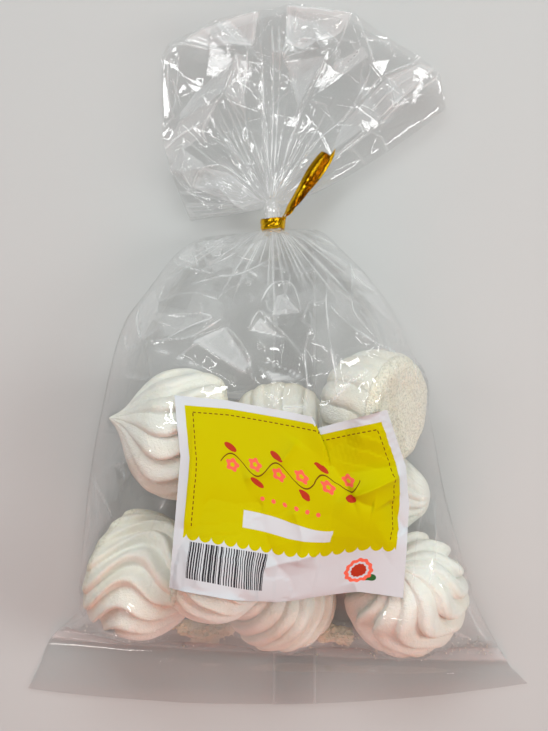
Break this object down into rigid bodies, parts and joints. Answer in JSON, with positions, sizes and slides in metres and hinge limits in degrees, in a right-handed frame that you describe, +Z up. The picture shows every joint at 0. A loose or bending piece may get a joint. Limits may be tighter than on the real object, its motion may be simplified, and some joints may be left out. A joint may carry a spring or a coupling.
{
  "type": "bag of meringue cookies",
  "caption": "Clear film bag of piped meringue cookies, gathered at its mouth and closed with a gold twist tie, lying on its back with its paper label up.",
  "frame": {"origin": "centre of the bounding box, on the surface that the bag lies on", "axes": "+Y runs from the bottom seal to the tied mouth, +X to the right of the label, +Z up out of the label"},
  "size_m": [0.2236, 0.3102, 0.0722],
  "materials": {
    "clear_film": "clear glossy film over off-white meringue",
    "label_paper": "satin printed paper, yellow with a white border",
    "gold_foil": "bright gold foil over wire",
    "meringue": "dry matt baked meringue, off-white"
  },
  "bodies": {
    "root": {"bag": "clear_film", "label": "label_paper", "twist_tie": "gold_foil"}
  },
  "joints": []
}
